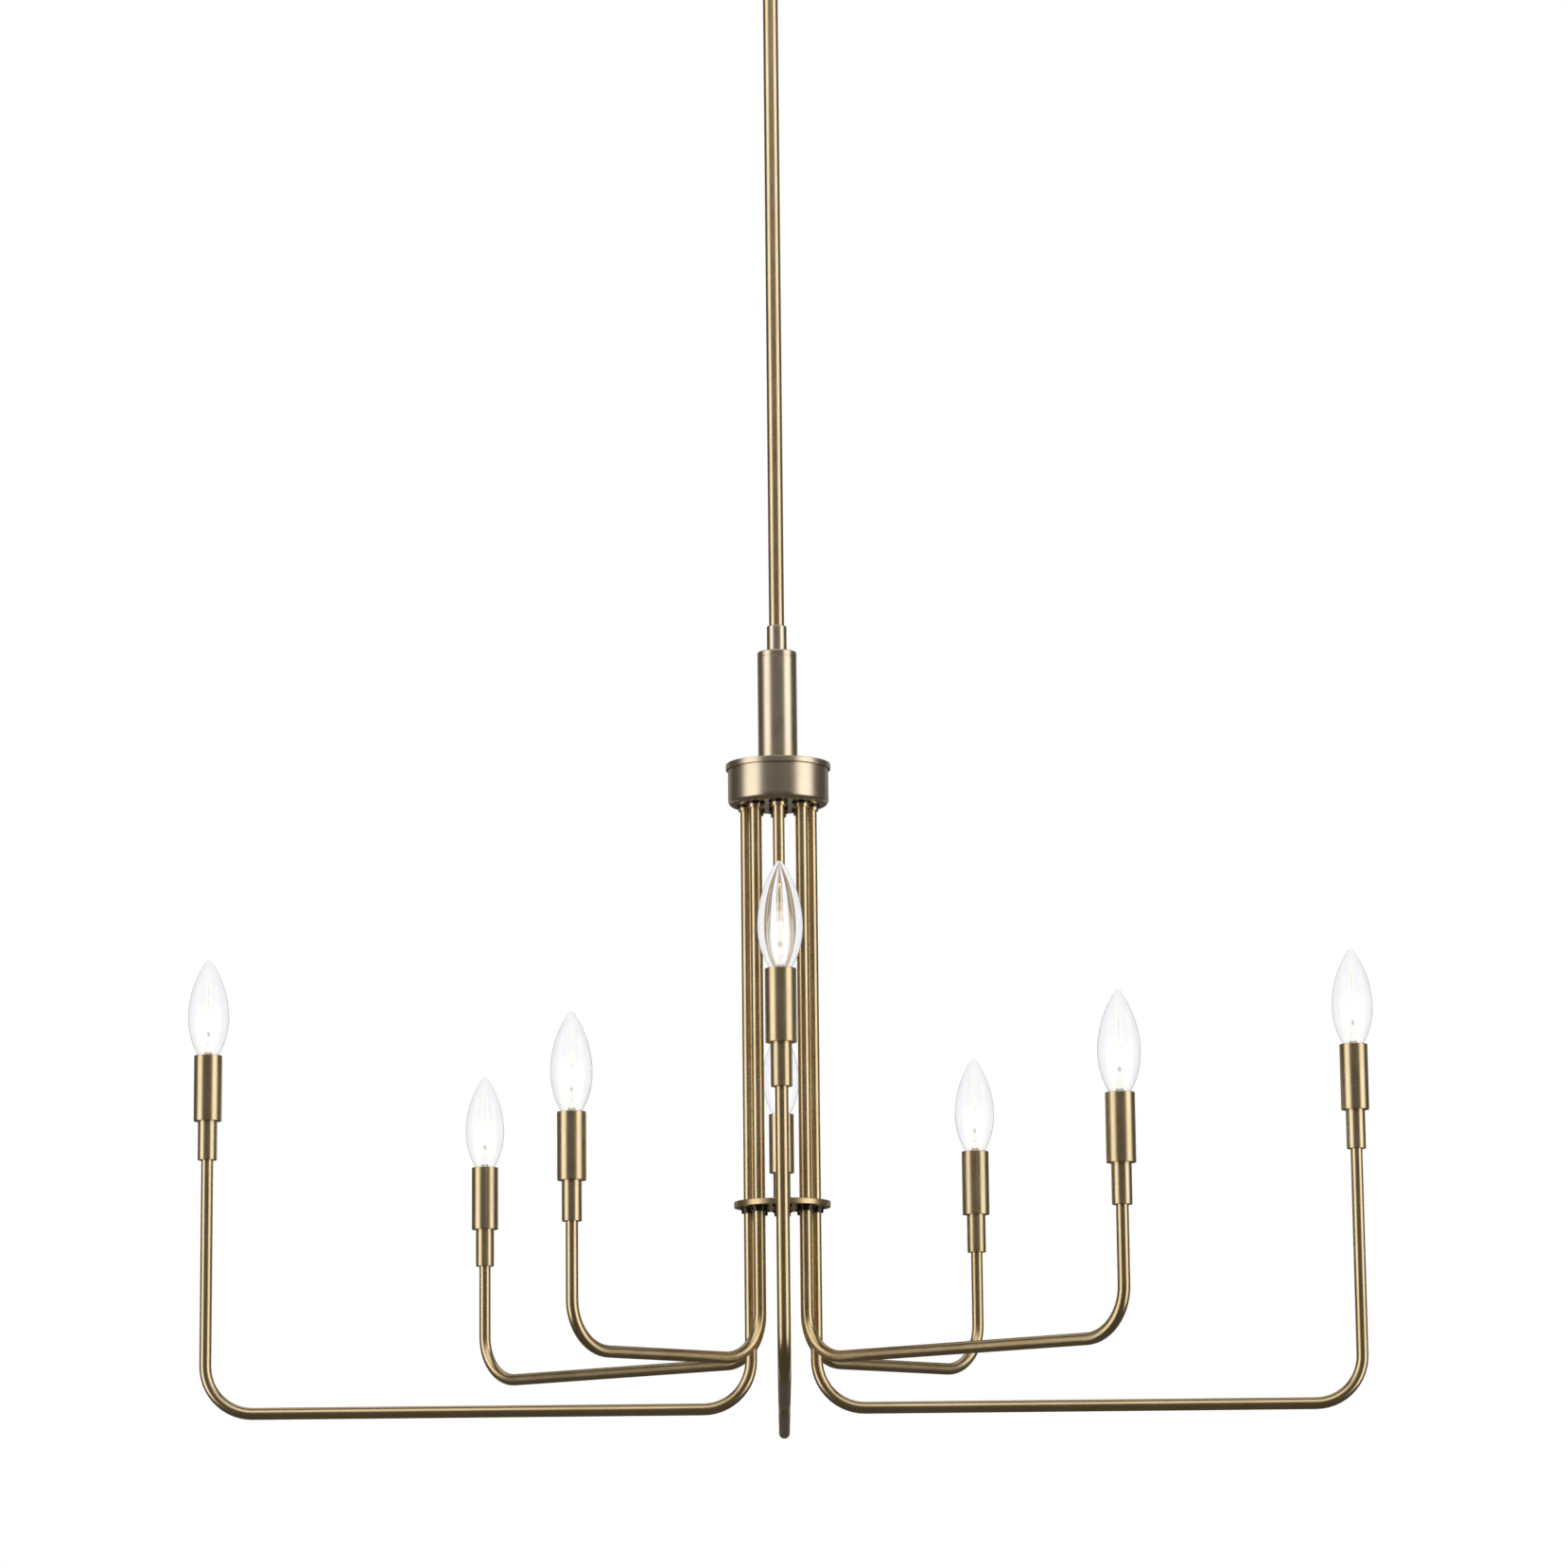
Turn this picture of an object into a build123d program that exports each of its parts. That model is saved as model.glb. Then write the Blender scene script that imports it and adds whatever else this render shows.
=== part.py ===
from build123d import *
from math import atan2, cos, radians, sin, sqrt
import os

os.makedirs("parts", exist_ok=True)

# An eight-light candle chandelier that hangs from a ceiling on one rigid stem.
# Origin: centre of the mounting crossbar's top face, in the ceiling plane. +Z is up, all sizes are in mm.

# Driving dimensions: overall
DROP = 1330.0  # ceiling to the centreline of the lower arms
TIER_GAP = 40.0  # lower arms' centreline to upper arms' centreline
LONG_REACH = 484.0  # hub axis to candle axis, the four lower arms
MEDIUM_REACH = 377.0  # two upper arms
SHORT_REACH = 240.0  # the other two upper arms
ARM_COUNT = 8
REACHES = [LONG_REACH, SHORT_REACH, LONG_REACH, MEDIUM_REACH] * 2

# Arm tubes
TUBE_R = 5.0
TUBE_BORE_R = 4.0
BEND_R = 40.0
TUBE_CIRCLE_R = 27.5
LONG_POST = 213.0  # run centreline to the foot of the neck
SHORT_POST = 103.0
LEAD_R = 1.6
RUNNING_GAP = 0.05
SNUG = 0.03  # a fit that doesn't turn

# Candles
NECK_R = 8.1
NECK_HEIGHT = 33.0
NECK_BORE_DEPTH = 16.0
NECK_WEB = 3.0
SLEEVE_R = 11.8
SLEEVE_WALL = 0.8
SLEEVE_HEIGHT = 55.5
SLEEVE_FLOOR = 1.5
SOCKET_R = 9.25
SOCKET_STEM_R = 4.9
SOCKET_TOP_GAP = 4.0  # socket rim below the sleeve's mouth
SOCKET_BORE_DEPTH = 17.5

# Lamps: torpedo glass on a 12 mm screw cap
BULB_R = 17.1
BULB_HEIGHT = 81.5  # above the sleeve's mouth
BULB_BELLY = 32.0
GLASS_WALL = 0.8
GLASS_NECK_R = 8.2
TIP_R = 3.1
CAP_R = 5.95
CAP_HEIGHT = 15.5
CAP_THREAD_PITCH = 2.54
CEMENT_GAP = 0.02  # the glass foot and the cap stay two solids

# Hub, from the bottom up
DISC_R = 40.6
DISC_THICKNESS = 5.0
DISC_HEIGHT = 168.0  # lower arms' centreline to the disc's underside
CUP_HEIGHT = 511.0  # lower arms' centreline to the cup's underside
CUP_R = 42.8
CUP_WALL = 1.2
CUP_VISIBLE = 31.0
LID_R = 44.6
LID_HEIGHT = 5.0
LID_WALL = 1.3
COLUMN_R = 16.75
COLUMN_WALL = 1.2
COLUMN_HEIGHT = 92.5
COLUMN_CAP_HEIGHT = 5.0
COLLAR_R = 8.5
COLLAR_HEIGHT = 23.0
COLLAR_FLOOR = 7.0

# Stem and ceiling fittings
ROD_R = 6.5
ROD_BORE_R = 5.0
ROD_LENGTH = 610.0
NIPPLE_R = 4.85
NIPPLE_BORE_R = 3.6
CANOPY_R = 65.0
CANOPY_DEPTH = 25.0
CANOPY_WALL = 1.2
BAR_LENGTH = 118.0
BAR_WIDTH = 22.0
BAR_THICKNESS = 2.5
BOX_HOLE_SPACING = 88.9
BOX_HOLE_R = 2.4
CANOPY_SCREW_SPACING = 60.0
CANOPY_SCREW_R = 2.0
PIVOT_DROP = 44.0
PIN_R = 2.5
TONGUE = 8.0
FORK_GAP = 0.1

# Worked-out heights
lower_run_z = -DROP
upper_run_z = lower_run_z + TIER_GAP
disc_z = lower_run_z + DISC_HEIGHT
cup_z = lower_run_z + CUP_HEIGHT
skirt_z = cup_z + CUP_VISIBLE
lid_top_z = skirt_z + LID_HEIGHT
cap_z = lid_top_z + COLUMN_HEIGHT
collar_z = cap_z + COLUMN_CAP_HEIGHT
rod_z = collar_z + COLLAR_FLOOR
rod_top_z = rod_z + ROD_LENGTH
pivot_z = -PIVOT_DROP


def keep(builder, name):
    """Label one finished sub-part and write it to its own STEP file."""
    builder.part.label = name
    export_step(builder.part, f"parts/{name}.step")


def upright(px=0.0, py=0.0):
    """A vertical sketch plane through (px, py): its x is the radius and its y is the height."""
    return Plane(origin=(px, py, 0), x_dir=(1, 0, 0), z_dir=(0, -1, 0))


def plumb(px=0.0, py=0.0):
    """The vertical axis through (px, py)."""
    return Axis((px, py, 0), (0, 0, 1))


def turn(outline, px=0.0, py=0.0, mode=Mode.ADD):
    """Revolve a closed outline of (radius, height) points about the vertical axis through (px, py)."""
    with BuildSketch(upright(px, py)) as profile:
        with BuildLine():
            Polyline(*outline, close=True)
        make_face()
    revolve(profile.sketch, axis=plumb(px, py), mode=mode)


def ring(outer, inner, low, high):
    """The outline of a plain turned ring."""
    return [(inner, low), (outer, low), (outer, high), (inner, high)]


def outer_edges(builder, radius):
    """The round edges of one radius on the part being built."""
    circles = builder.edges().filter_by(GeomType.CIRCLE)
    return circles.filter_by(lambda edge: abs(edge.radius - radius) < 0.01)


def ring_places(radius, count, first_deg=0.0):
    """Evenly spaced (x, y) places on a circle."""
    turns = [radians(first_deg + 360 / count * n) for n in range(count)]
    return [(radius * cos(a), radius * sin(a)) for a in turns]


tube_places = ring_places(TUBE_CIRCLE_R, ARM_COUNT)

# ---------------------------------------------------------------- ceiling fittings

with BuildPart() as mounting_crossbar:
    with BuildSketch(Plane.XY.offset(-BAR_THICKNESS)):
        SlotOverall(BAR_LENGTH, BAR_WIDTH)
    extrude(amount=BAR_THICKNESS)
    with Locations(Plane.XY):
        Hole(radius=NIPPLE_R + 1.0)
        with GridLocations(BOX_HOLE_SPACING, 0, 2, 1):
            Hole(radius=BOX_HOLE_R)
        with GridLocations(CANOPY_SCREW_SPACING, 0, 2, 1):
            Hole(radius=CANOPY_SCREW_R + SNUG)
keep(mounting_crossbar, "mounting_crossbar")

CANOPY_ROUND = 6.0
neck_r = NIPPLE_R + 0.1
with BuildPart() as canopy:
    turn(ring(CANOPY_R, 0, -CANOPY_DEPTH, 0))
    fillet(canopy.edges().group_by(Axis.Z)[0], CANOPY_ROUND)
    offset(amount=-CANOPY_WALL, openings=canopy.faces().sort_by(Axis.Z)[-1])
    with Locations(Plane.XY.offset(-CANOPY_DEPTH)):
        Hole(radius=neck_r + RUNNING_GAP)
        with GridLocations(CANOPY_SCREW_SPACING, 0, 2, 1):
            Hole(radius=CANOPY_SCREW_R + 0.2)
keep(canopy, "canopy")

KNOB_R = 4.5
KNOB_HEIGHT = 6.0
screw_places = [(side * CANOPY_SCREW_SPACING / 2, 0) for side in (-1, 1)]
with BuildPart() as canopy_screws:
    for px, py in screw_places:
        turn(ring(KNOB_R, 0, -CANOPY_DEPTH - KNOB_HEIGHT, -CANOPY_DEPTH), px, py)
    fillet(canopy_screws.edges().group_by(Axis.Z)[0], 2.5)
    for px, py in screw_places:
        turn(ring(CANOPY_SCREW_R, 0, -CANOPY_DEPTH - 1, -0.4), px, py)
keep(canopy_screws, "canopy_screws")

LOCK_NUT_FLATS = 14.0
LOCK_NUT_HEIGHT = 4.0
with BuildPart() as canopy_lock_nut:
    with BuildSketch(Plane.XY.offset(-CANOPY_DEPTH + CANOPY_WALL + 0.1)):
        RegularPolygon(LOCK_NUT_FLATS / 2, 6, major_radius=False)
        Circle(neck_r + SNUG, mode=Mode.SUBTRACT)
    extrude(amount=LOCK_NUT_HEIGHT)
    chamfer(canopy_lock_nut.edges().filter_by(GeomType.CIRCLE), 0.4)
keep(canopy_lock_nut, "canopy_lock_nut")

FORK_R = 9.0
FORK_HEAD = 6.0
FORK_NECK = 13.0
CHEEK = 4.0
LUG_R = 7.0
cheek_gap = TONGUE / 2 + FORK_GAP
fork_top_z = -CANOPY_DEPTH - 0.1
with BuildPart() as swivel_fork:
    turn(ring(neck_r, NIPPLE_BORE_R, fork_top_z - 1, fork_top_z + FORK_NECK))
    turn(ring(FORK_R, NIPPLE_BORE_R, fork_top_z - FORK_HEAD, fork_top_z))
    for side in (-1, 1):
        with BuildSketch(Plane.YZ.offset(side * (cheek_gap + CHEEK / 2))):
            with Locations((0, pivot_z)):
                Circle(LUG_R)
            with Locations((0, (pivot_z + fork_top_z - FORK_HEAD + 1) / 2)):
                Rectangle(2 * LUG_R, fork_top_z - FORK_HEAD + 1 - pivot_z)
        extrude(amount=CHEEK / 2, both=True)
    with Locations(Plane.YZ):
        with Locations((0, pivot_z)):
            Hole(radius=PIN_R + SNUG)
keep(swivel_fork, "swivel_fork")

with BuildPart() as swivel_pin:
    pin_half = cheek_gap + CHEEK + 1.0
    with BuildSketch(Plane.YZ.offset(-pin_half)):
        with Locations((0, pivot_z)):
            Circle(PIN_R)
    extrude(amount=2 * pin_half)
    chamfer(swivel_pin.edges().filter_by(GeomType.CIRCLE), 0.4)
keep(swivel_pin, "swivel_pin")

EYE_SOCKET_R = 8.5
EYE_BORE_DEPTH = 10.0
EYE_LENGTH = 18.0
TONGUE_WIDTH = 12.0
eye_low_z = rod_top_z - EYE_BORE_DEPTH
eye_high_z = eye_low_z + EYE_LENGTH
with BuildPart() as swivel_eye:
    turn(ring(EYE_SOCKET_R, 0, eye_low_z, eye_high_z))
    fillet(swivel_eye.edges().filter_by(GeomType.CIRCLE).group_by(Axis.Z)[-1], 1.5)
    with BuildSketch(Plane.YZ):
        with Locations((0, pivot_z)):
            Circle(LUG_R)
        with Locations((0, (pivot_z + eye_high_z - 1) / 2)):
            Rectangle(TONGUE_WIDTH, pivot_z - eye_high_z + 1)
    extrude(amount=TONGUE / 2, both=True)
    turn(ring(ROD_R + SNUG, 0, eye_low_z - 1, rod_top_z), mode=Mode.SUBTRACT)
    turn(ring(LEAD_R + 0.6, 0, rod_top_z - 1, rod_top_z + 5.0), mode=Mode.SUBTRACT)
    with Locations(Plane.YZ):
        with Locations((0, pivot_z)):
            Hole(radius=PIN_R + RUNNING_GAP)
keep(swivel_eye, "swivel_eye")

# ---------------------------------------------------------------- stem and hub

with BuildPart() as stem_rod:
    turn(ring(ROD_R, ROD_BORE_R, rod_z, rod_top_z))
    chamfer(outer_edges(stem_rod, ROD_R), 0.4)
keep(stem_rod, "stem_rod")

with BuildPart() as stem_collar:
    turn(ring(COLLAR_R, NIPPLE_R + SNUG, collar_z, collar_z + COLLAR_HEIGHT))
    turn(ring(ROD_R + SNUG, 0, rod_z, collar_z + COLLAR_HEIGHT + 1), mode=Mode.SUBTRACT)
    fillet(outer_edges(stem_collar, COLLAR_R), 0.8)
keep(stem_collar, "stem_collar")

with BuildPart() as column_cap:
    turn(ring(COLUMN_R, NIPPLE_R + 0.1, cap_z, collar_z))
    turn(ring(COLUMN_R + 1, COLUMN_R - 0.35, cap_z, cap_z + 0.7), mode=Mode.SUBTRACT)
    fillet(outer_edges(column_cap, COLUMN_R).sort_by(Axis.Z)[-1], 0.9)
keep(column_cap, "column_cap")

with BuildPart() as column_tube:
    turn(ring(COLUMN_R, COLUMN_R - COLUMN_WALL, lid_top_z, cap_z))
    fillet(outer_edges(column_tube, COLUMN_R), 0.3)
keep(column_tube, "column_tube")

with BuildPart() as hub_lid:
    turn(ring(LID_R, NIPPLE_R + 0.1, skirt_z, lid_top_z))
    turn(ring(LID_R - LID_WALL, 0, skirt_z - 1, lid_top_z - LID_WALL), mode=Mode.SUBTRACT)
    fillet(outer_edges(hub_lid, LID_R), 0.5)
keep(hub_lid, "hub_lid")

CUP_ROUND = 5.0
cup_top_z = lid_top_z - LID_WALL - 0.1
with BuildPart() as hub_cup:
    turn(ring(CUP_R, 0, cup_z, cup_top_z))
    fillet(hub_cup.edges().group_by(Axis.Z)[0], CUP_ROUND)
    offset(amount=-CUP_WALL, openings=hub_cup.faces().sort_by(Axis.Z)[-1])
    with Locations(Plane.XY.offset(cup_z)):
        Hole(radius=NIPPLE_R + 0.1)
        with PolarLocations(TUBE_CIRCLE_R, ARM_COUNT):
            Hole(radius=TUBE_R + RUNNING_GAP)
keep(hub_cup, "hub_cup")

NUT_HEIGHT = 4.5
nipple_low_z = cup_z - NUT_HEIGHT - 2.0
with BuildPart() as hub_nipple:
    turn(ring(NIPPLE_R, NIPPLE_BORE_R, nipple_low_z, rod_z))
    chamfer(outer_edges(hub_nipple, NIPPLE_R), 0.5)
keep(hub_nipple, "hub_nipple")

with BuildPart() as hub_nuts:
    for nut_z in (cup_z - NUT_HEIGHT, cup_z + CUP_WALL):
        with BuildSketch(Plane.XY.offset(nut_z)):
            RegularPolygon(LOCK_NUT_FLATS / 2, 6, major_radius=False)
            Circle(NIPPLE_R + SNUG, mode=Mode.SUBTRACT)
        extrude(amount=NUT_HEIGHT)
keep(hub_nuts, "hub_nuts")

tube_top_z = cup_z + 14.0
with BuildPart() as arm_lock_nuts:
    with BuildSketch(Plane.XY.offset(cup_z + CUP_WALL)):
        with PolarLocations(TUBE_CIRCLE_R, ARM_COUNT):
            RegularPolygon(LOCK_NUT_FLATS / 2, 6, major_radius=False)
        with PolarLocations(TUBE_CIRCLE_R, ARM_COUNT):
            Circle(TUBE_R + RUNNING_GAP, mode=Mode.SUBTRACT)
    extrude(amount=LOCK_NUT_HEIGHT)
keep(arm_lock_nuts, "arm_lock_nuts")

with BuildPart() as spacer_disc:
    turn(ring(DISC_R, 0, disc_z, disc_z + DISC_THICKNESS))
    fillet(spacer_disc.edges().filter_by(GeomType.CIRCLE), 0.5)
    with Locations(Plane.XY.offset(disc_z)):
        with PolarLocations(TUBE_CIRCLE_R, ARM_COUNT):
            Hole(radius=TUBE_R + RUNNING_GAP)
keep(spacer_disc, "spacer_disc")

SPLICE_R = 4.2
SPLICE_HEIGHT = 12.0
with BuildPart() as wire_connectors:
    splice_z = cup_z + 16.0
    for px, py in ring_places(13.5, 3, 90):
        taper = [(0, splice_z), (SPLICE_R, splice_z), (SPLICE_R * 0.6, splice_z + SPLICE_HEIGHT)]
        turn(taper + [(0, splice_z + SPLICE_HEIGHT)], px, py)
keep(wire_connectors, "wire_connectors")

with BuildPart() as supply_lead:
    turn(ring(LEAD_R + 0.4, 0, nipple_low_z + 2, rod_top_z + 5.0))
keep(supply_lead, "supply_lead")

# ---------------------------------------------------------------- arms and candles

FLANGE_R = 8.0
FERRULE_R = 6.6
STOP_R = 8.2


def arm_plane(azimuth_deg):
    """The vertical plane of one arm: its x points away from the hub axis and its y is up."""
    c, s = cos(radians(azimuth_deg)), sin(radians(azimuth_deg))
    return Plane(origin=(0, 0, 0), x_dir=(c, s, 0), z_dir=(s, -c, 0))


def arm_route(plane, reach, run_z, top_z, end_z):
    """Down beside the hub, out along the run and up the post, with both corners rounded."""
    with BuildLine(plane) as route:
        corners = [(TUBE_CIRCLE_R, top_z), (TUBE_CIRCLE_R, run_z), (reach, run_z), (reach, end_z)]
        FilletPolyline(*corners, radius=BEND_R)
    return route.wires()[0]


def start_plane(plane, top_z):
    """The level plane at the top of an arm's route, facing down it."""
    start = plane.from_local_coords(Vector(TUBE_CIRCLE_R, top_z, 0))
    return Plane(origin=start, x_dir=plane.x_dir, z_dir=(0, 0, -1))


def make_arm_tube(name, azimuth_deg, reach, run_z, neck_z):
    """The bent tube, with the ferrule brazed on under the cup and the stop collar under the disc."""
    plane = arm_plane(azimuth_deg)
    px, py, _ = plane.from_local_coords(Vector(TUBE_CIRCLE_R, 0, 0))
    route = arm_route(plane, reach, run_z, tube_top_z, neck_z + NECK_BORE_DEPTH)
    flange_z = cup_z - 0.1
    with BuildPart() as arm_tube:
        with BuildSketch(start_plane(plane, tube_top_z)):
            Circle(TUBE_R)
            Circle(TUBE_BORE_R, mode=Mode.SUBTRACT)
        sweep(path=route)
        inside = TUBE_R - 0.4
        turn(ring(FLANGE_R, inside, flange_z - 1.5, flange_z), px, py)
        turn(ring(FERRULE_R, inside, flange_z - 4.5, flange_z - 1.4), px, py)
        stop_z = disc_z - 0.1
        turn(ring(STOP_R, inside, stop_z - 1.4, stop_z), px, py)
        turn(ring(STOP_R - 1.2, inside, stop_z - 4.4, stop_z - 1.3), px, py)
    keep(arm_tube, name)


def make_neck(name, px, py, foot_z):
    """A turned coupling: the arm tube enters from below and the socket's stem screws in from above."""
    web_z = foot_z + NECK_BORE_DEPTH
    top_z = foot_z + NECK_HEIGHT
    with BuildPart() as neck:
        turn(ring(NECK_R, 0, foot_z, top_z), px, py)
        fillet(neck.edges().filter_by(GeomType.CIRCLE).group_by(Axis.Z)[0], 0.5)
        turn(ring(TUBE_R + SNUG, 0, foot_z - 1, web_z), px, py, Mode.SUBTRACT)
        turn(ring(NIPPLE_BORE_R, 0, web_z - 1, web_z + NECK_WEB + 1), px, py, Mode.SUBTRACT)
        turn(ring(SOCKET_STEM_R + SNUG, 0, web_z + NECK_WEB, top_z + 1), px, py, Mode.SUBTRACT)
        # a shallow turned groove near each end
        for groove_z in (foot_z + 1.6, top_z - 1.9):
            turn(ring(NECK_R + 1, NECK_R - 0.25, groove_z, groove_z + 0.5), px, py, Mode.SUBTRACT)
    keep(neck, name)


def make_sleeve(name, px, py, foot_z):
    """The candle sleeve: a drawn tube with a floor that the socket clamps down."""
    with BuildPart() as sleeve:
        turn(ring(SLEEVE_R, SOCKET_STEM_R + 0.1, foot_z, foot_z + SLEEVE_HEIGHT), px, py)
        bore = ring(SLEEVE_R - SLEEVE_WALL, 0, foot_z + SLEEVE_FLOOR, foot_z + SLEEVE_HEIGHT + 1)
        turn(bore, px, py, Mode.SUBTRACT)
        fillet(outer_edges(sleeve, SLEEVE_R), 0.35)
    keep(sleeve, name)


def make_socket(name, azimuth_deg, reach, run_z, px, py, foot_z):
    """The lamp socket on its hollow threaded stem, and the lead that runs back through the arm."""
    web_top = foot_z + NECK_BORE_DEPTH + NECK_WEB
    floor_z = foot_z + NECK_HEIGHT + SLEEVE_FLOOR
    rim_z = foot_z + NECK_HEIGHT + SLEEVE_HEIGHT - SOCKET_TOP_GAP
    plane = arm_plane(azimuth_deg)
    lead_top_z = tube_top_z + 4.0
    with BuildPart() as socket:
        turn(ring(SOCKET_STEM_R, 0, web_top, floor_z + 1), px, py)
        turn(ring(SOCKET_R, 0, floor_z, rim_z), px, py)
        bore = ring(CAP_R + 0.1, 0, rim_z - SOCKET_BORE_DEPTH, rim_z + 1)
        turn(bore, px, py, Mode.SUBTRACT)
        with BuildSketch(start_plane(plane, lead_top_z)):
            Circle(LEAD_R)
        sweep(path=arm_route(plane, reach, run_z, lead_top_z, web_top))
    keep(socket, name)


def glass_radius(arc_r, wall, rise):
    """Distance from a lamp's axis to a long arc of its glass, at a rise off the belly."""
    return BULB_R - arc_r + sqrt((arc_r - wall) ** 2 - rise**2)


def glass_arcs(mouth_z, wall):
    """Three tangent arcs up a lamp's glass, wall inside its skin: flare, nose and round tip."""
    belly_z = mouth_z + BULB_BELLY
    nose_rise = BULB_HEIGHT - TIP_R - BULB_BELLY
    flare_in = BULB_R - GLASS_NECK_R
    flare_r = (flare_in**2 + BULB_BELLY**2) / (2 * flare_in)
    nose_r = (BULB_R**2 - TIP_R**2 + nose_rise**2) / (2 * (BULB_R - TIP_R))
    lean = atan2(nose_r - BULB_R, nose_rise)  # of the shoulder, off the axis
    tip_r = TIP_R - wall
    tip_z = belly_z + nose_rise
    neck = (glass_radius(flare_r, wall, BULB_BELLY), mouth_z)
    flare = (glass_radius(flare_r, wall, BULB_BELLY / 2), mouth_z + BULB_BELLY / 2)
    belly = (BULB_R - wall, belly_z)
    nose = (glass_radius(nose_r, wall, nose_rise / 2), belly_z + nose_rise / 2)
    shoulder = (tip_r * sin(lean), tip_z + tip_r * cos(lean))
    tip_side = (tip_r * sin(lean / 2), tip_z + tip_r * cos(lean / 2))
    return [(neck, flare, belly), (belly, nose, shoulder), (shoulder, tip_side, (0, tip_z + tip_r))]


def make_bulb(name, px, py, mouth_z):
    """A torpedo lamp: thin glass, open where it is cemented into the metal screw cap."""
    cap_top = mouth_z - SOCKET_TOP_GAP + 1.0
    glass_foot = cap_top + CEMENT_GAP
    skin = glass_arcs(mouth_z, 0)
    inside = glass_arcs(mouth_z, GLASS_WALL)
    with BuildPart() as bulb:
        with BuildSketch(upright(px, py)):
            with BuildLine():
                for arc in skin + inside:
                    ThreePointArc(*arc)
                Line(skin[-1][-1], inside[-1][-1])
                Polyline(inside[0][0], (CAP_R - GLASS_WALL, glass_foot), (CAP_R, glass_foot), skin[0][0])
            make_face()
        revolve(axis=plumb(px, py))
        # the screw cap's rounded thread, from the contact up to the glass
        pitch = CAP_THREAD_PITCH
        contact_z = cap_top - CAP_HEIGHT
        turns = int((CAP_HEIGHT - 3.0) / pitch)
        thread = [(CAP_R - 0.45, cap_top - 1.0)]
        for n in range(turns):
            crest_z = cap_top - 1.0 - (n + 0.5) * pitch
            thread += [(CAP_R, crest_z), (CAP_R - 0.45, crest_z - pitch / 2)]
        contact = [(3.0, contact_z + 1.4), (3.0, contact_z + 0.4), (2.2, contact_z), (0, contact_z)]
        turn([(0, cap_top), (CAP_R, cap_top)] + thread + contact, px, py)
    keep(bulb, name)


for n in range(ARM_COUNT):
    azimuth_deg = 360 / ARM_COUNT * n
    is_lower = n % 2 == 0
    reach = REACHES[n]
    run_z = lower_run_z if is_lower else upper_run_z
    neck_z = run_z + (LONG_POST if is_lower else SHORT_POST)
    px, py, _ = arm_plane(azimuth_deg).from_local_coords(Vector(reach, 0, 0))
    label = f"arm_{n + 1}"
    make_arm_tube(f"{label}_tube", azimuth_deg, reach, run_z, neck_z)
    make_neck(f"{label}_neck", px, py, neck_z)
    make_sleeve(f"{label}_sleeve", px, py, neck_z + NECK_HEIGHT)
    make_socket(f"{label}_socket", azimuth_deg, reach, run_z, px, py, neck_z)
    make_bulb(f"bulb_{n + 1}", px, py, neck_z + NECK_HEIGHT + SLEEVE_HEIGHT)
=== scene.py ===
import bpy
from math import atan2, cos, pi, radians, sin, sqrt
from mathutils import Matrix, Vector


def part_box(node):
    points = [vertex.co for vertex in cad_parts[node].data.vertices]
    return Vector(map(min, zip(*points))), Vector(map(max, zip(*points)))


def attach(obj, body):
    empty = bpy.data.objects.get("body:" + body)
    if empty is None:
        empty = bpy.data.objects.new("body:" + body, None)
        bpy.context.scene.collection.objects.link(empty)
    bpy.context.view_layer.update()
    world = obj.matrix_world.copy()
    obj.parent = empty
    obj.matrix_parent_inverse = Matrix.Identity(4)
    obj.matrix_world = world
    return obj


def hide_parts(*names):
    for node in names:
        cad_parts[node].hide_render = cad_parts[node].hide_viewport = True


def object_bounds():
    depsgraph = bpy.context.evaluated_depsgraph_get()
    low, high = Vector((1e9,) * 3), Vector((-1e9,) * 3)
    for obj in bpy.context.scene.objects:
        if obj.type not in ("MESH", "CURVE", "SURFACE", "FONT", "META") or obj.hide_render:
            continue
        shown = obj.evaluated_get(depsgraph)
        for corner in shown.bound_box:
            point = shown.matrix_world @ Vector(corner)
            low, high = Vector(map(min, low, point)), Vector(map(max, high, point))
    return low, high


# A rod-hung brass chandelier with eight candles. The brass is the CAD's own mesh, and the lamps are
# rebuilt here.
# Metres throughout, in the frame's own axes: the origin is in the ceiling plane and +Z is up.

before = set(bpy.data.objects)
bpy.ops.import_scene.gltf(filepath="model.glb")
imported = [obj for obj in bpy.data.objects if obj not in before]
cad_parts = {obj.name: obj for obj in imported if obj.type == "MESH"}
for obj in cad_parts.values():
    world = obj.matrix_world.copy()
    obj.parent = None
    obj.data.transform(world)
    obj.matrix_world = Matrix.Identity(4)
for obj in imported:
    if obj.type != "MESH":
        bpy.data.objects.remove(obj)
cad_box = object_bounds()
LAMP_COUNT = 8

# ------------------------------------------------------------------ material helpers


def new_material(name):
    """A material with nodes, its node tree and its main shader."""
    material = bpy.data.materials.new(name)
    material.use_nodes = True
    tree = material.node_tree
    return material, tree, tree.nodes["Principled BSDF"]


def object_place(tree):
    """The socket that gives a point's place in the frame."""
    return tree.nodes.new("ShaderNodeTexCoord").outputs["Object"]


def noise(tree, scale, detail=3.0, stretch=(1, 1, 1)):
    """A noise value, scale cells to the metre; an axis stretched below 1 has longer cells."""
    mapping = tree.nodes.new("ShaderNodeMapping")
    mapping.inputs["Scale"].default_value = stretch
    tree.links.new(object_place(tree), mapping.inputs["Vector"])
    texture = tree.nodes.new("ShaderNodeTexNoise")
    texture.inputs["Scale"].default_value = scale
    texture.inputs["Detail"].default_value = detail
    tree.links.new(mapping.outputs["Vector"], texture.inputs["Vector"])
    return texture.outputs["Fac"]


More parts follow.
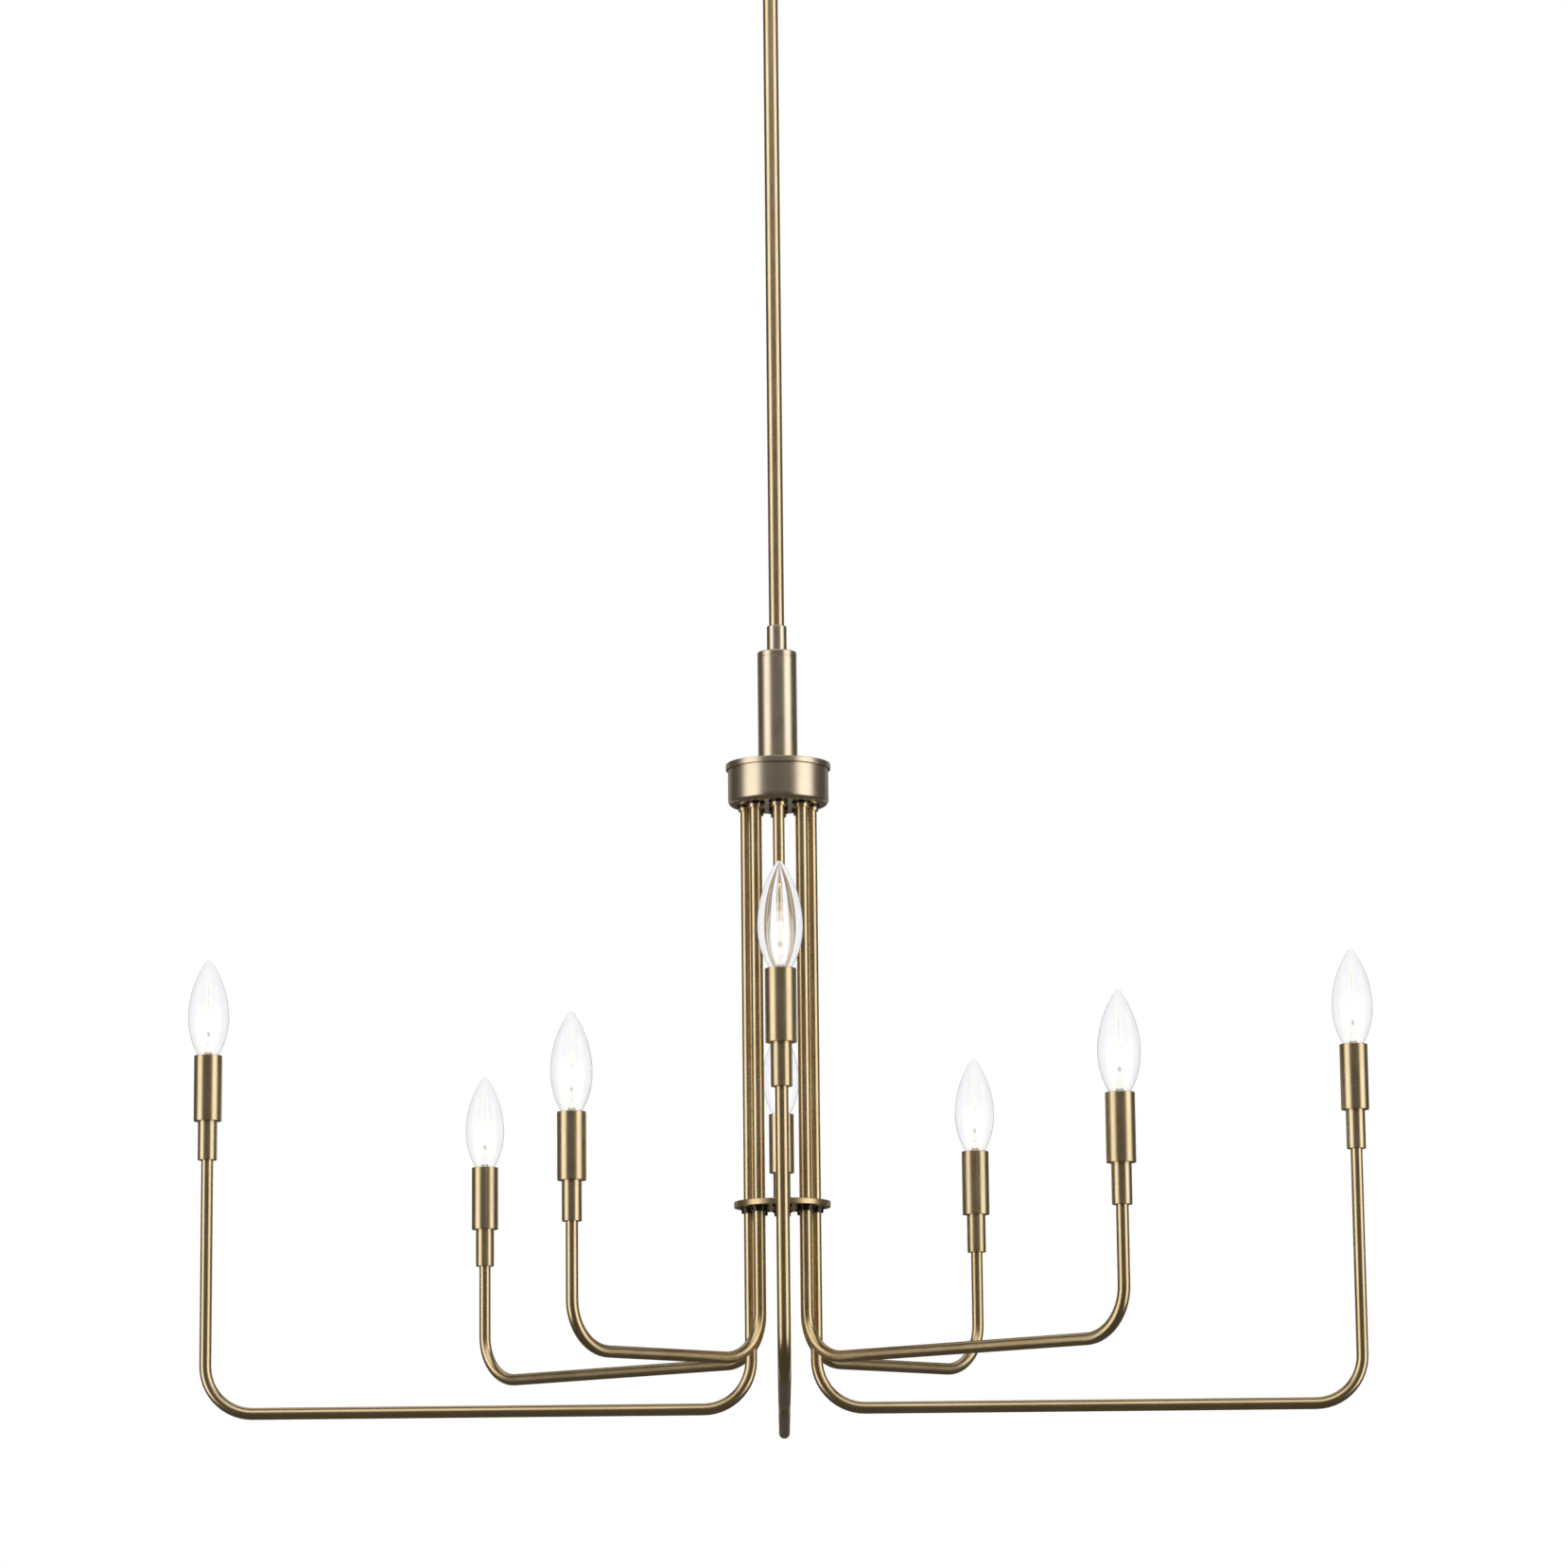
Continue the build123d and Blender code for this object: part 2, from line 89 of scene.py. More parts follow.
def spread(tree, value, low, high, start=0.3, end=0.7):
    """The value's range from start to end, spread over low to high."""
    node = tree.nodes.new("ShaderNodeMapRange")
    node.inputs["From Min"].default_value = start
    node.inputs["From Max"].default_value = end
    node.inputs["To Min"].default_value = low
    node.inputs["To Max"].default_value = high
    tree.links.new(value, node.inputs["Value"])
    return node.outputs["Result"]


def math_node(tree, operation, first, second, third=None):
    """A math node's result; each input is a socket or a number."""
    node = tree.nodes.new("ShaderNodeMath")
    node.operation = operation
    for socket, value in zip(node.inputs, (first, second, third)):
        if isinstance(value, (int, float)):
            socket.default_value = value
        elif value is not None:
            tree.links.new(value, socket)
    return node.outputs[0]


def mix_colour(tree, value, first, second):
    """A colour between first and second; each is a socket or an RGB colour."""
    node = tree.nodes.new("ShaderNodeMix")
    node.data_type = "RGBA"
    tree.links.new(value, node.inputs["Factor"])
    for socket, colour in ((node.inputs[6], first), (node.inputs[7], second)):
        if isinstance(colour, tuple):
            socket.default_value = (*colour, 1)
        else:
            tree.links.new(colour, socket)
    return node.outputs[2]


def bump(tree, shader, height, strength, distance):
    """Raises the surface by a height socket."""
    node = tree.nodes.new("ShaderNodeBump")
    node.inputs["Strength"].default_value = strength
    node.inputs["Distance"].default_value = distance
    tree.links.new(height, node.inputs["Height"])
    tree.links.new(node.outputs["Normal"], shader.inputs["Normal"])


# ------------------------------------------------------------------ metals and plastics

DRAWN = (1, 1, 1)  # an even satin
TURNED = (0.02, 0.02, 1)  # fine rings about the vertical, as from a lathe
# cells to the metre in a metal's noises
DRIFT_CELLS = 14
SPECKLE_CELLS = 1400
BRUSHING_CELLS = 4200
SMEAR_CELLS = 55
BRUSHING_DEPTH = 0.000004
DRAWN_BITE = 0.03
TURNED_BITE = 0.07


def satin_metal(name, light, deep, roughness, grain=DRAWN, bite=DRAWN_BITE):
    """Satin metal: slow tone drift, fine speckle, uneven sheen and a brushed grain."""
    material, tree, shader = new_material(name)
    drift = math_node(tree, "MULTIPLY", noise(tree, DRIFT_CELLS, 2), 0.90)
    tone = math_node(tree, "MULTIPLY_ADD", noise(tree, SPECKLE_CELLS, 2), 0.10, drift)
    colour = mix_colour(tree, spread(tree, tone, 0, 1, 0.35, 0.65), light, deep)
    brushing = noise(tree, BRUSHING_CELLS, 3, grain)
    smears = math_node(tree, "MULTIPLY", noise(tree, SMEAR_CELLS, 4), 0.7)
    sheen = math_node(tree, "MULTIPLY_ADD", brushing, 0.3, smears)
    tree.links.new(colour, shader.inputs["Base Color"])
    gloss = spread(tree, sheen, roughness - 0.03, roughness + 0.04)
    tree.links.new(gloss, shader.inputs["Roughness"])
    shader.inputs["Metallic"].default_value = 1.0
    bump(tree, shader, brushing, bite, BRUSHING_DEPTH)
    return material


# the dark stop collars' own steel tone, used too as painted shade under the cup
DARK_STEEL_AND_SHADE_TONE = (0.075, 0.06, 0.045)


def add_dark_band(material, low_z, high_z, hub_radius):
    """Blackens what lies between two heights, close to the hub's axis; it colours the dark stop
    collars and paints the shade line under the cup.
    """
    tree = material.node_tree
    shader = tree.nodes["Principled BSDF"]
    place = tree.nodes.new("ShaderNodeSeparateXYZ")
    tree.links.new(object_place(tree), place.inputs["Vector"])
    middle, half = (low_z + high_z) / 2, (high_z - low_z) / 2
    level = math_node(tree, "COMPARE", place.outputs["Z"], middle, half)
    across = math_node(tree, "MULTIPLY", place.outputs["X"], place.outputs["X"])
    span = math_node(tree, "MULTIPLY_ADD", place.outputs["Y"], place.outputs["Y"], across)
    near = math_node(tree, "LESS_THAN", span, hub_radius**2)
    mask = math_node(tree, "MULTIPLY", level, near)
    brass_colour = shader.inputs["Base Color"].links[0].from_socket
    colour = mix_colour(tree, mask, brass_colour, DARK_STEEL_AND_SHADE_TONE)
    tree.links.new(colour, shader.inputs["Base Color"])


def moulded_plastic(name, light, deep, roughness):
    """Moulded plastic: a faint mottle and a fine spark-eroded skin."""
    material, tree, shader = new_material(name)
    colour = mix_colour(tree, spread(tree, noise(tree, 120, 3), 0, 1), light, deep)
    tree.links.new(colour, shader.inputs["Base Color"])
    skin = noise(tree, 3000, 2)
    gloss = spread(tree, skin, roughness - 0.06, roughness + 0.06)
    tree.links.new(gloss, shader.inputs["Roughness"])
    bump(tree, shader, skin, 0.25, 0.00005)
    return material


tube_brass = satin_metal("tube_brass", (0.81, 0.64, 0.39), (0.73, 0.55, 0.30), 0.27)
rod_brass = satin_metal("rod_brass", (0.82, 0.66, 0.41), (0.75, 0.58, 0.34), 0.27)
candle_brass = satin_metal(
    "candle_brass", (0.82, 0.66, 0.42), (0.74, 0.58, 0.34), 0.29, TURNED, TURNED_BITE)
hub_brass = satin_metal(
    "hub_brass", (0.82, 0.70, 0.53), (0.75, 0.62, 0.45), 0.29, TURNED, TURNED_BITE)
disc_brass = satin_metal("disc_brass", (0.80, 0.63, 0.38), (0.72, 0.54, 0.30), 0.30)
dark_steel = satin_metal("dark_steel", (0.20, 0.17, 0.13), (0.12, 0.10, 0.08), 0.38)
zinc_steel = satin_metal("zinc_steel", (0.62, 0.62, 0.60), (0.52, 0.51, 0.48), 0.34)
cap_nickel = satin_metal("cap_nickel", (0.76, 0.74, 0.70), (0.66, 0.63, 0.58), 0.22)
socket_cream = moulded_plastic("socket_cream", (0.78, 0.74, 0.64), (0.70, 0.65, 0.54), 0.48)
connector_orange = moulded_plastic("connector_orange", (0.72, 0.25, 0.07), (0.60, 0.19, 0.05), 0.42)
lead_gold = moulded_plastic("lead_gold", (0.62, 0.50, 0.27), (0.52, 0.40, 0.20), 0.25)
cement_white = moulded_plastic("cement_white", (0.86, 0.84, 0.78), (0.78, 0.75, 0.68), 0.70)
insulator_black = moulded_plastic("insulator_black", (0.03, 0.03, 0.04), (0.015, 0.015, 0.02), 0.20)

STOP_DEPTH = 0.0046  # the stop collars under the spacer disc
PAINTED_SHADE_DEPTH = 0.0016  # painted shade: the dark line on each ferrule just under the cup, where the cup's shadow falls
disc_low_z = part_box("spacer_disc")[0].z
disc_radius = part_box("spacer_disc")[1].x
add_dark_band(tube_brass, disc_low_z - STOP_DEPTH, disc_low_z, disc_radius)
# painted shade: a dark band on each ferrule just under the cup, standing in for the cup's shadow
cup_low_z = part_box("hub_cup")[0].z
add_dark_band(tube_brass, cup_low_z - PAINTED_SHADE_DEPTH, cup_low_z, disc_radius)

node_materials = {
    "stem_rod": rod_brass,
    "spacer_disc": disc_brass,
    "supply_lead": lead_gold,
    "wire_connectors": connector_orange,
    "mounting_crossbar": zinc_steel,
}
for node in ("stem_collar", "column_cap", "column_tube", "hub_lid", "hub_cup",
             "canopy", "canopy_screws", "swivel_fork", "swivel_eye"):
    node_materials[node] = hub_brass
for node in ("arm_lock_nuts", "hub_nuts", "canopy_lock_nut", "hub_nipple", "swivel_pin"):
    node_materials[node] = dark_steel
for n in range(1, LAMP_COUNT + 1):
    node_materials[f"arm_{n}_tube"] = tube_brass
    node_materials[f"arm_{n}_neck"] = candle_brass
    node_materials[f"arm_{n}_sleeve"] = candle_brass
    node_materials[f"arm_{n}_socket"] = socket_cream
for node, material in node_materials.items():
    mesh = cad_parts[node].data
    mesh.materials.clear()
    mesh.materials.append(material)

# ------------------------------------------------------------------ lamp materials


GLASS_IOR = 1.45
GLASS_WAVES = 0.0001


def clear_glass(name, tint):
    """Blown glass: clear, faintly grey, and a little wavy."""
    material, tree, shader = new_material(name)
    drift = spread(tree, noise(tree, 30, 2), 0, 1)
    colour = mix_colour(tree, drift, tint, (0.985, 0.985, 0.985))
    tree.links.new(colour, shader.inputs["Base Color"])
    shader.inputs["Transmission Weight"].default_value = 1.0
    shader.inputs["IOR"].default_value = GLASS_IOR
    shader.inputs["Roughness"].default_value = 0.0
    bump(tree, shader, noise(tree, 40, 0, (1, 1, 0.3)), 0.3, GLASS_WAVES)
    return material


GLOW_COLOUR = (1.0, 0.965, 0.88)
GLOW_STRENGTH = 1.25


def glow_material(name, cover):
    """One thin layer of light: it hides the share that cover gives of what is behind it."""
    material, tree, shader = new_material(name)
    flicker = spread(tree, noise(tree, 160, 2), 0.94, 1.06)
    emission = tree.nodes.new("ShaderNodeEmission")
    emission.inputs["Color"].default_value = (*GLOW_COLOUR, 1)
    strength = math_node(tree, "MULTIPLY", flicker, GLOW_STRENGTH)
    tree.links.new(strength, emission.inputs["Strength"])
    clear = tree.nodes.new("ShaderNodeBsdfTransparent")
    mix = tree.nodes.new("ShaderNodeMixShader")
    mix.inputs["Fac"].default_value = cover
    tree.links.new(clear.outputs[0], mix.inputs[1])
    tree.links.new(emission.outputs[0], mix.inputs[2])
    tree.links.new(mix.outputs[0], tree.nodes["Material Output"].inputs["Surface"])
    tree.nodes.remove(shader)
    material.cycles.emission_sampling = "NONE"  # it glows, but doesn't light the room
    return material


def hot_wire(name):
    """Tungsten, lit golden, brighter in some turns than in others."""
    material, tree, shader = new_material(name)
    heat = noise(tree, 700, 2)
    colour = mix_colour(tree, heat, (0.98, 0.68, 0.34), (1.0, 0.84, 0.55))
    tree.links.new(colour, shader.inputs["Base Color"])
    tree.links.new(colour, shader.inputs["Emission Color"])
    tree.links.new(spread(tree, heat, 0.5, 1.1), shader.inputs["Emission Strength"])
    shader.inputs["Metallic"].default_value = 1.0
    shader.inputs["Roughness"].default_value = 0.4
    material.cycles.emission_sampling = "NONE"
    return material


bulb_glass = clear_glass("bulb_glass", (0.972, 0.976, 0.992))
stem_glass = clear_glass("stem_glass", (0.98, 0.98, 0.985))
filament_glow = hot_wire("filament_glow")

# ------------------------------------------------------------------ mesh helpers


def make_mesh(name, points, faces, material):
    """A smooth-shaded mesh."""
    mesh = bpy.data.meshes.new(name)
    mesh.from_pydata(points, [], faces)
    mesh.materials.append(material)
    mesh.shade_smooth()
    mesh.validate()
    return mesh


def rings_to_mesh(name, rings, material, close_start=True, close_end=True):
    """Skins a list of equal rings of points, and caps each end that is closed."""
    count = len(rings[0])
    points = [point for ring in rings for point in ring]
    faces = []
    for r in range(len(rings) - 1):
        for k in range(count):
            a, b = r * count + k, r * count + (k + 1) % count
            faces.append((a, b, b + count, a + count))
    if close_start:
        faces.append(tuple(reversed(range(count))))
    if close_end:
        faces.append(tuple(range(len(points) - count, len(points))))
    return make_mesh(name, points, faces, material)


def level_ring(radius, z, count, flatten=1.0):
    """A horizontal ring of points, narrowed along Y by flatten."""
    turns = [2 * pi * k / count for k in range(count)]
    return [(radius * cos(t), radius * flatten * sin(t), z) for t in turns]


def smooth_line(points, steps):
    """A Catmull-Rom line through the points."""
    ends = [points[0] * 2 - points[1], *points, points[-1] * 2 - points[-2]]
    line = []
    for a, b, c, d in zip(ends, ends[1:], ends[2:], ends[3:]):
        for s in range(steps):
            t = s / steps
            line.append(0.5 * (2 * b + (c - a) * t + (2 * a - 5 * b + 4 * c - d) * t**2
                               + (3 * b - a - 3 * c + d) * t**3))
    return line + [points[-1]]


def wire_rings(line, radius, sides):
    """Rings of points round a line, carried along it without twist."""
    rings = []
    side = (line[1] - line[0]).orthogonal().normalized()
    for k, point in enumerate(line):
        ahead = (line[min(k + 1, len(line) - 1)] - line[max(k - 1, 0)]).normalized()
        side = (side - ahead * side.dot(ahead)).normalized()
        across = ahead.cross(side)
        turns = [2 * pi * s / sides for s in range(sides)]
        rings.append([tuple(point + (side * cos(t) + across * sin(t)) * radius) for t in turns])
    return rings


def join_meshes(name, meshes):
    """One mesh from several."""
    points, faces, slots, materials = [], [], [], []
    for mesh in meshes:
        offset = len(points)
        if mesh.materials[0] not in materials:
            materials.append(mesh.materials[0])
        points += [tuple(v.co) for v in mesh.vertices]
        for polygon in mesh.polygons:
            faces.append(tuple(v + offset for v in polygon.vertices))
            slots.append(materials.index(mesh.materials[0]))
    joined = bpy.data.meshes.new(name)
    joined.from_pydata(points, [], faces)
    for material in materials:
        joined.materials.append(material)
    joined.polygons.foreach_set("material_index", slots)
    joined.shade_smooth()
    return joined


# ------------------------------------------------------------------ one lamp, on its sleeve's mouth

BULB_R = 0.0171
BULB_HEIGHT = 0.0815
BULB_BELLY = 0.032
BULB_WALL = 0.0007
NECK_R = 0.0082
TIP_R = 0.0031
CAP_R = 0.00595
CAP_TOP = -0.003
CAP_HEIGHT = 0.0155
THREAD_PITCH = 0.00254
THREAD_FOOT = 0.0032  # from the cap's foot up to where its thread starts
THREAD_FADE = 0.0012  # the height over which the thread's depth fades in and out
THREAD_STEPS = 66
ROUND = 72  # points round a turned piece
FLARE_STEPS = 14
NOSE_STEPS = 28
TIP_STEPS = 8


def glass_outline(wall):
    """(radius, height) up the glass, wall inside its skin: a flare, nose and tip, all tangent."""
    nose_rise = BULB_HEIGHT - TIP_R - BULB_BELLY
    flare_in = BULB_R - NECK_R
    flare_r = (flare_in**2 + BULB_BELLY**2) / (2 * flare_in)
    nose_r = (BULB_R**2 - TIP_R**2 + nose_rise**2) / (2 * (BULB_R - TIP_R))
    lean = atan2(nose_r - BULB_R, nose_rise)
    outline = []
    for k in range(FLARE_STEPS):
        rise = -BULB_BELLY * (1 - k / FLARE_STEPS)
        radius = BULB_R - flare_r + sqrt((flare_r - wall) ** 2 - rise**2)
        outline.append((radius, BULB_BELLY + rise))
    shoulder_rise = nose_rise + (TIP_R - wall) * cos(lean)
    for k in range(NOSE_STEPS):
        rise = shoulder_rise * k / NOSE_STEPS
        radius = BULB_R - nose_r + sqrt((nose_r - wall) ** 2 - rise**2)
        outline.append((radius, BULB_BELLY + rise))
    for k in range(TIP_STEPS):
        angle = lean * (1 - k / TIP_STEPS)
        height = BULB_BELLY + nose_rise + (TIP_R - wall) * cos(angle)
        outline.append(((TIP_R - wall) * sin(angle), height))
    return outline


def bulb_glass_mesh():
    """The blown envelope: outer and inner skins, joined where the foot is cemented into the cap."""
    outer = [(CAP_R, CAP_TOP + 0.0001), (CAP_R + 0.0009, CAP_TOP + 0.0012)] + glass_outline(0)
    inner = [(CAP_R - BULB_WALL, CAP_TOP + 0.0001), (CAP_R + 0.0002, CAP_TOP + 0.0014)]
    inner += glass_outline(BULB_WALL)
    outer_tip = (0, 0, BULB_HEIGHT)
    inner_tip = (0, 0, BULB_HEIGHT - BULB_WALL)
    rings = [level_ring(r, z, ROUND) for r, z in reversed(inner)]
    rings += [level_ring(r, z, ROUND) for r, z in outer]
    points = [point for ring in rings for point in ring] + [inner_tip, outer_tip]
    last = len(rings) * ROUND
    faces = []
    for r in range(len(rings) - 1):
        for k in range(ROUND):
            a, b = r * ROUND + k, r * ROUND + (k + 1) % ROUND
            faces.append((a, b, b + ROUND, a + ROUND))
    for k in range(ROUND):
        faces.append((last, (k + 1) % ROUND, k))
        top = last - ROUND
        faces.append((last + 1, top + k, top + (k + 1) % ROUND))
    return make_mesh("lamp_glass_shell", points, faces, bulb_glass)


def cap_mesh():
    """The nickel screw cap with its helical thread, cement, black insulator and contact."""
    thread_low = CAP_TOP - CAP_HEIGHT + THREAD_FOOT
    rings = []
    for s in range(THREAD_STEPS + 1):
        z = CAP_TOP - (CAP_TOP - thread_low) * s / THREAD_STEPS
        ramp = min(1.0, (CAP_TOP - z) / THREAD_FADE, (z - thread_low) / THREAD_FADE)
        ring = []
        for k in range(ROUND):
            turn = 2 * pi * k / ROUND
            wave = cos(2 * pi * z / THREAD_PITCH - turn)
            radius = CAP_R - 0.00025 * ramp + 0.00024 * ramp * wave
            ring.append((radius * cos(turn), radius * sin(turn), z))
        rings.append(ring)
    foot = [(0.0054, -0.0005), (0.0046, -0.0009)]
    rings += [level_ring(r, thread_low + dz, ROUND) for r, dz in foot]
    shell = rings_to_mesh("cap_shell", rings, cap_nickel, close_start=False)
    brim = [(CAP_R - 0.0003, CAP_TOP), (CAP_R - 0.0012, CAP_TOP + 0.0004),
            (0.0030, CAP_TOP + 0.0006)]
    cement_rings = [level_ring(r, z, ROUND) for r, z in reversed(brim)]
    cement = rings_to_mesh("cap_cement", cement_rings, cement_white, True, False)
    slope = [(0.0046, -0.0009), (0.0042, -0.0014), (0.0036, -0.0018), (0.0028, -0.0021)]
    insulator_rings = [level_ring(r, thread_low + dz, ROUND) for r, dz in slope]
    insulator = rings_to_mesh("cap_insulator", insulator_rings, insulator_black)
    dome = [(0.0026 * cos(t), -0.0021 - 0.0010 * sin(t)) for t in (0, 0.4, 0.8, 1.2, 1.45)]
    contact_rings = [level_ring(r, thread_low + dz, ROUND) for r, dz in dome]
    contact = rings_to_mesh("cap_contact", contact_rings, zinc_steel)
    return join_meshes("lamp_screw_cap", [shell, cement, insulator, contact])


STEM_TOP = 0.0145


def stem_mesh():
    """The solid glass mount: a flare at the foot, a slim waist and a flattened pinch at the top."""
    profile = [(0.0049, -0.0026), (0.0044, 0.0), (0.0032, 0.0025), (0.0024, 0.0055),
               (0.0022, 0.0085), (0.0026, 0.0110), (0.0027, 0.0130),
               (0.0022, STEM_TOP - 0.0004), (0.0012, STEM_TOP)]
    line = smooth_line([Vector(p) for p in profile], 4)
    rings = []
    for radius, z in line:
        pinch = max(0.0, min(1.0, (z - 0.0065) / 0.0045))
        rings.append(level_ring(radius, z, 40, 1 - 0.55 * pinch))
    return rings_to_mesh("lamp_mount_stem", rings, stem_glass)


LEAD_TOP = 0.0400
LOOP_TOP = 0.0640
LEAD_SPREAD = 0.0030
HOOK_R = 0.0006
BEAD_R = 0.0014
BEAD_HALF = 0.0023
BEAD_Z = 0.0185
BEAD_STEPS = 16
COIL_R = 0.00026
POINTS_PER_TURN = 9


def wires_mesh():
    """Two lead wires, the centre support with its hook, and the small dark bead that ties them."""
    meshes = []
    for side in (-1, 1):
        route = [(0.0011, 0, 0.0090), (0.0013, 0, 0.0150), (0.0021, 0.0003, 0.0230),
                 (0.0030, 0.0002, 0.0330), (LEAD_SPREAD, 0, LEAD_TOP),
                 (0.0027, 0, LEAD_TOP + 0.0008)]
        line = smooth_line([Vector((side * x, y, z)) for x, y, z in route], 5)
        meshes.append(rings_to_mesh("lead", wire_rings(line, 0.00022, 8), cap_nickel))
    support = [Vector((0, 0, z)) for z in (0.0120, 0.0250, 0.0400, 0.0560, LOOP_TOP - 0.0015)]
    hook = [Vector((HOOK_R * sin(t), 0, LOOP_TOP - HOOK_R - HOOK_R * cos(t)))
            for t in (1.2, 2.4, 3.6, 4.8)]
    line = smooth_line(support + hook, 6)
    meshes.append(rings_to_mesh("support", wire_rings(line, 0.00013, 6), cap_nickel))
    bead_rings = []
    for s in range(1, BEAD_STEPS):
        t = pi * s / BEAD_STEPS
        bead_rings.append(level_ring(BEAD_R * sin(t), BEAD_Z - BEAD_HALF * cos(t), 20))
    meshes.append(rings_to_mesh("bead", bead_rings, insulator_black))
    return join_meshes("lamp_wires", meshes)


def filament_mesh():
    """The coiled filament: up from one lead, over the support's hook and down to the other."""
    route = [(-LEAD_SPREAD, 0, LEAD_TOP), (-0.0021, 0.0002, 0.0500), (-0.0014, 0, 0.0600),
             (0, 0, LOOP_TOP), (0.0014, 0, 0.0600), (0.0021, -0.0002, 0.0500),
             (LEAD_SPREAD, 0, LEAD_TOP)]
    line = smooth_line([Vector(p) for p in route], 150)
    coil = []
    for k, point in enumerate(line):
        ahead = (line[min(k + 1, len(line) - 1)] - line[max(k - 1, 0)]).normalized()
        side = Vector((0, 1, 0))
        across = ahead.cross(side).normalized()
        turn = 2 * pi * k / POINTS_PER_TURN
        coil.append(point + (side * cos(turn) + across * sin(turn)) * COIL_R)
    return rings_to_mesh("lamp_filament", wire_rings(coil, 0.00007, 5), filament_glow)


# One soft core of light: each layer inward is smaller and hides more.
GLOW_LOW = -0.0040
GLOW_HIGH = 0.0500
GLOW_LAYERS = [(1.0, 0.12), (0.76, 0.22), (0.48, 0.34)]  # size, cover
GLOW_R = 0.0105
GLOW_STEPS = 28


def glow_mesh():
    """Nested egg-shaped layers round the lit part of the lamp."""
    meshes = []
    middle, half = (GLOW_LOW + GLOW_HIGH) / 2, (GLOW_HIGH - GLOW_LOW) / 2
    for layer, (size, cover) in enumerate(GLOW_LAYERS):
        material = glow_material(f"lamp_light_{layer}", cover)
        rings = []
        for s in range(1, GLOW_STEPS):
            t = pi * s / GLOW_STEPS
            rings.append(level_ring(GLOW_R * size * sin(t), middle - half * size * cos(t), 48))
        meshes.append(rings_to_mesh("layer", rings, material))
    return join_meshes("lamp_glow", meshes)


lamp_meshes = {
    "glass": bulb_glass_mesh(),
    "screw_cap": cap_mesh(),
    "mount_stem": stem_mesh(),
    "wires": wires_mesh(),
    "filament": filament_mesh(),
    "glow": glow_mesh(),
}
for n in range(1, LAMP_COUNT + 1):
    low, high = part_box(f"bulb_{n}")
    mouth = Vector(((low.x + high.x) / 2, (low.y + high.y) / 2, high.z - BULB_HEIGHT))
    for part, mesh in lamp_meshes.items():
        piece = bpy.data.objects.new(f"lamp_{n}_{part}", mesh)
        bpy.context.scene.collection.objects.link(piece)
        piece.location = mouth
        if part in ("mount_stem", "wires", "filament"):
            piece.rotation_euler = (0, 0, radians(47 * n))
        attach(piece, f"bulb_{n}")
        if part == "glass":
            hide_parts(f"bulb_{n}")

# ------------------------------------------------------------------ studio

FLOOR_Z = cad_box[0].z - 0.6
DOME_R = 14


def flat_disc(name, radius, z, material):
    """A large level disc that doesn't show in the brass's reflections."""
    mesh = bpy.data.meshes.new(name)
    mesh.from_pydata(level_ring(radius, z, 96), [], [tuple(range(96))])
    mesh.materials.append(material)
    piece = bpy.data.objects.new(name, mesh)
    bpy.context.scene.collection.objects.link(piece)
    piece.visible_glossy = False
    return piece


def self_lit(name, light, deep, scale):
    """Plain white paper that shines evenly by itself, with a faint mottle, and lights nothing."""
    material, tree, shader = new_material(name)
    mottle = spread(tree, noise(tree, scale, 3), 0, 1)
    tree.links.new(mix_colour(tree, mottle, light, deep), shader.inputs["Emission Color"])
    shader.inputs["Base Color"].default_value = (0, 0, 0, 1)
    shader.inputs["Emission Strength"].default_value = 1.0
    shader.inputs["Specular IOR Level"].default_value = 0.0
    material.cycles.emission_sampling = "NONE"
    return material


def backdrop_dome():
    """A white surround that the camera sees, directly or through glass, and that lights nothing."""
    bpy.ops.mesh.primitive_uv_sphere_add(segments=64, ring_count=32, radius=DOME_R)
    dome = bpy.context.object
    dome.name = "white_surround"
    dome.data.materials.append(self_lit("white_surround", (1, 1, 1), (1, 1, 1), 1))
    dome.visible_diffuse = False
    dome.visible_glossy = False
    dome.visible_shadow = False
    return dome


floor_paper = self_lit("pale_floor", (0.84, 0.84, 0.83), (0.82, 0.82, 0.81), 2)
flat_disc("floor", 13.9, FLOOR_Z, floor_paper)
backdrop_dome()


BOX_SOFTNESS = 0.12  # half of a softbox's faded border, as a tangent


def soft_edge(tree, value, half_size):
    """1 inside a box's half size, falling smoothly to 0 past it."""
    node = tree.nodes.new("ShaderNodeMapRange")
    node.interpolation_type = "SMOOTHSTEP"
    node.inputs["From Min"].default_value = half_size - BOX_SOFTNESS
    node.inputs["From Max"].default_value = half_size + BOX_SOFTNESS
    node.inputs["To Min"].default_value = 1.0
    node.inputs["To Max"].default_value = 0.0
    tree.links.new(value, node.inputs["Value"])
    return node.outputs["Result"]


def along(tree, way, axis):
    """How far a direction runs along an axis."""
    node = tree.nodes.new("ShaderNodeVectorMath")
    node.operation = "DOT_PRODUCT"
    tree.links.new(way, node.inputs[0])
    node.inputs[1].default_value = axis
    return node.outputs["Value"]


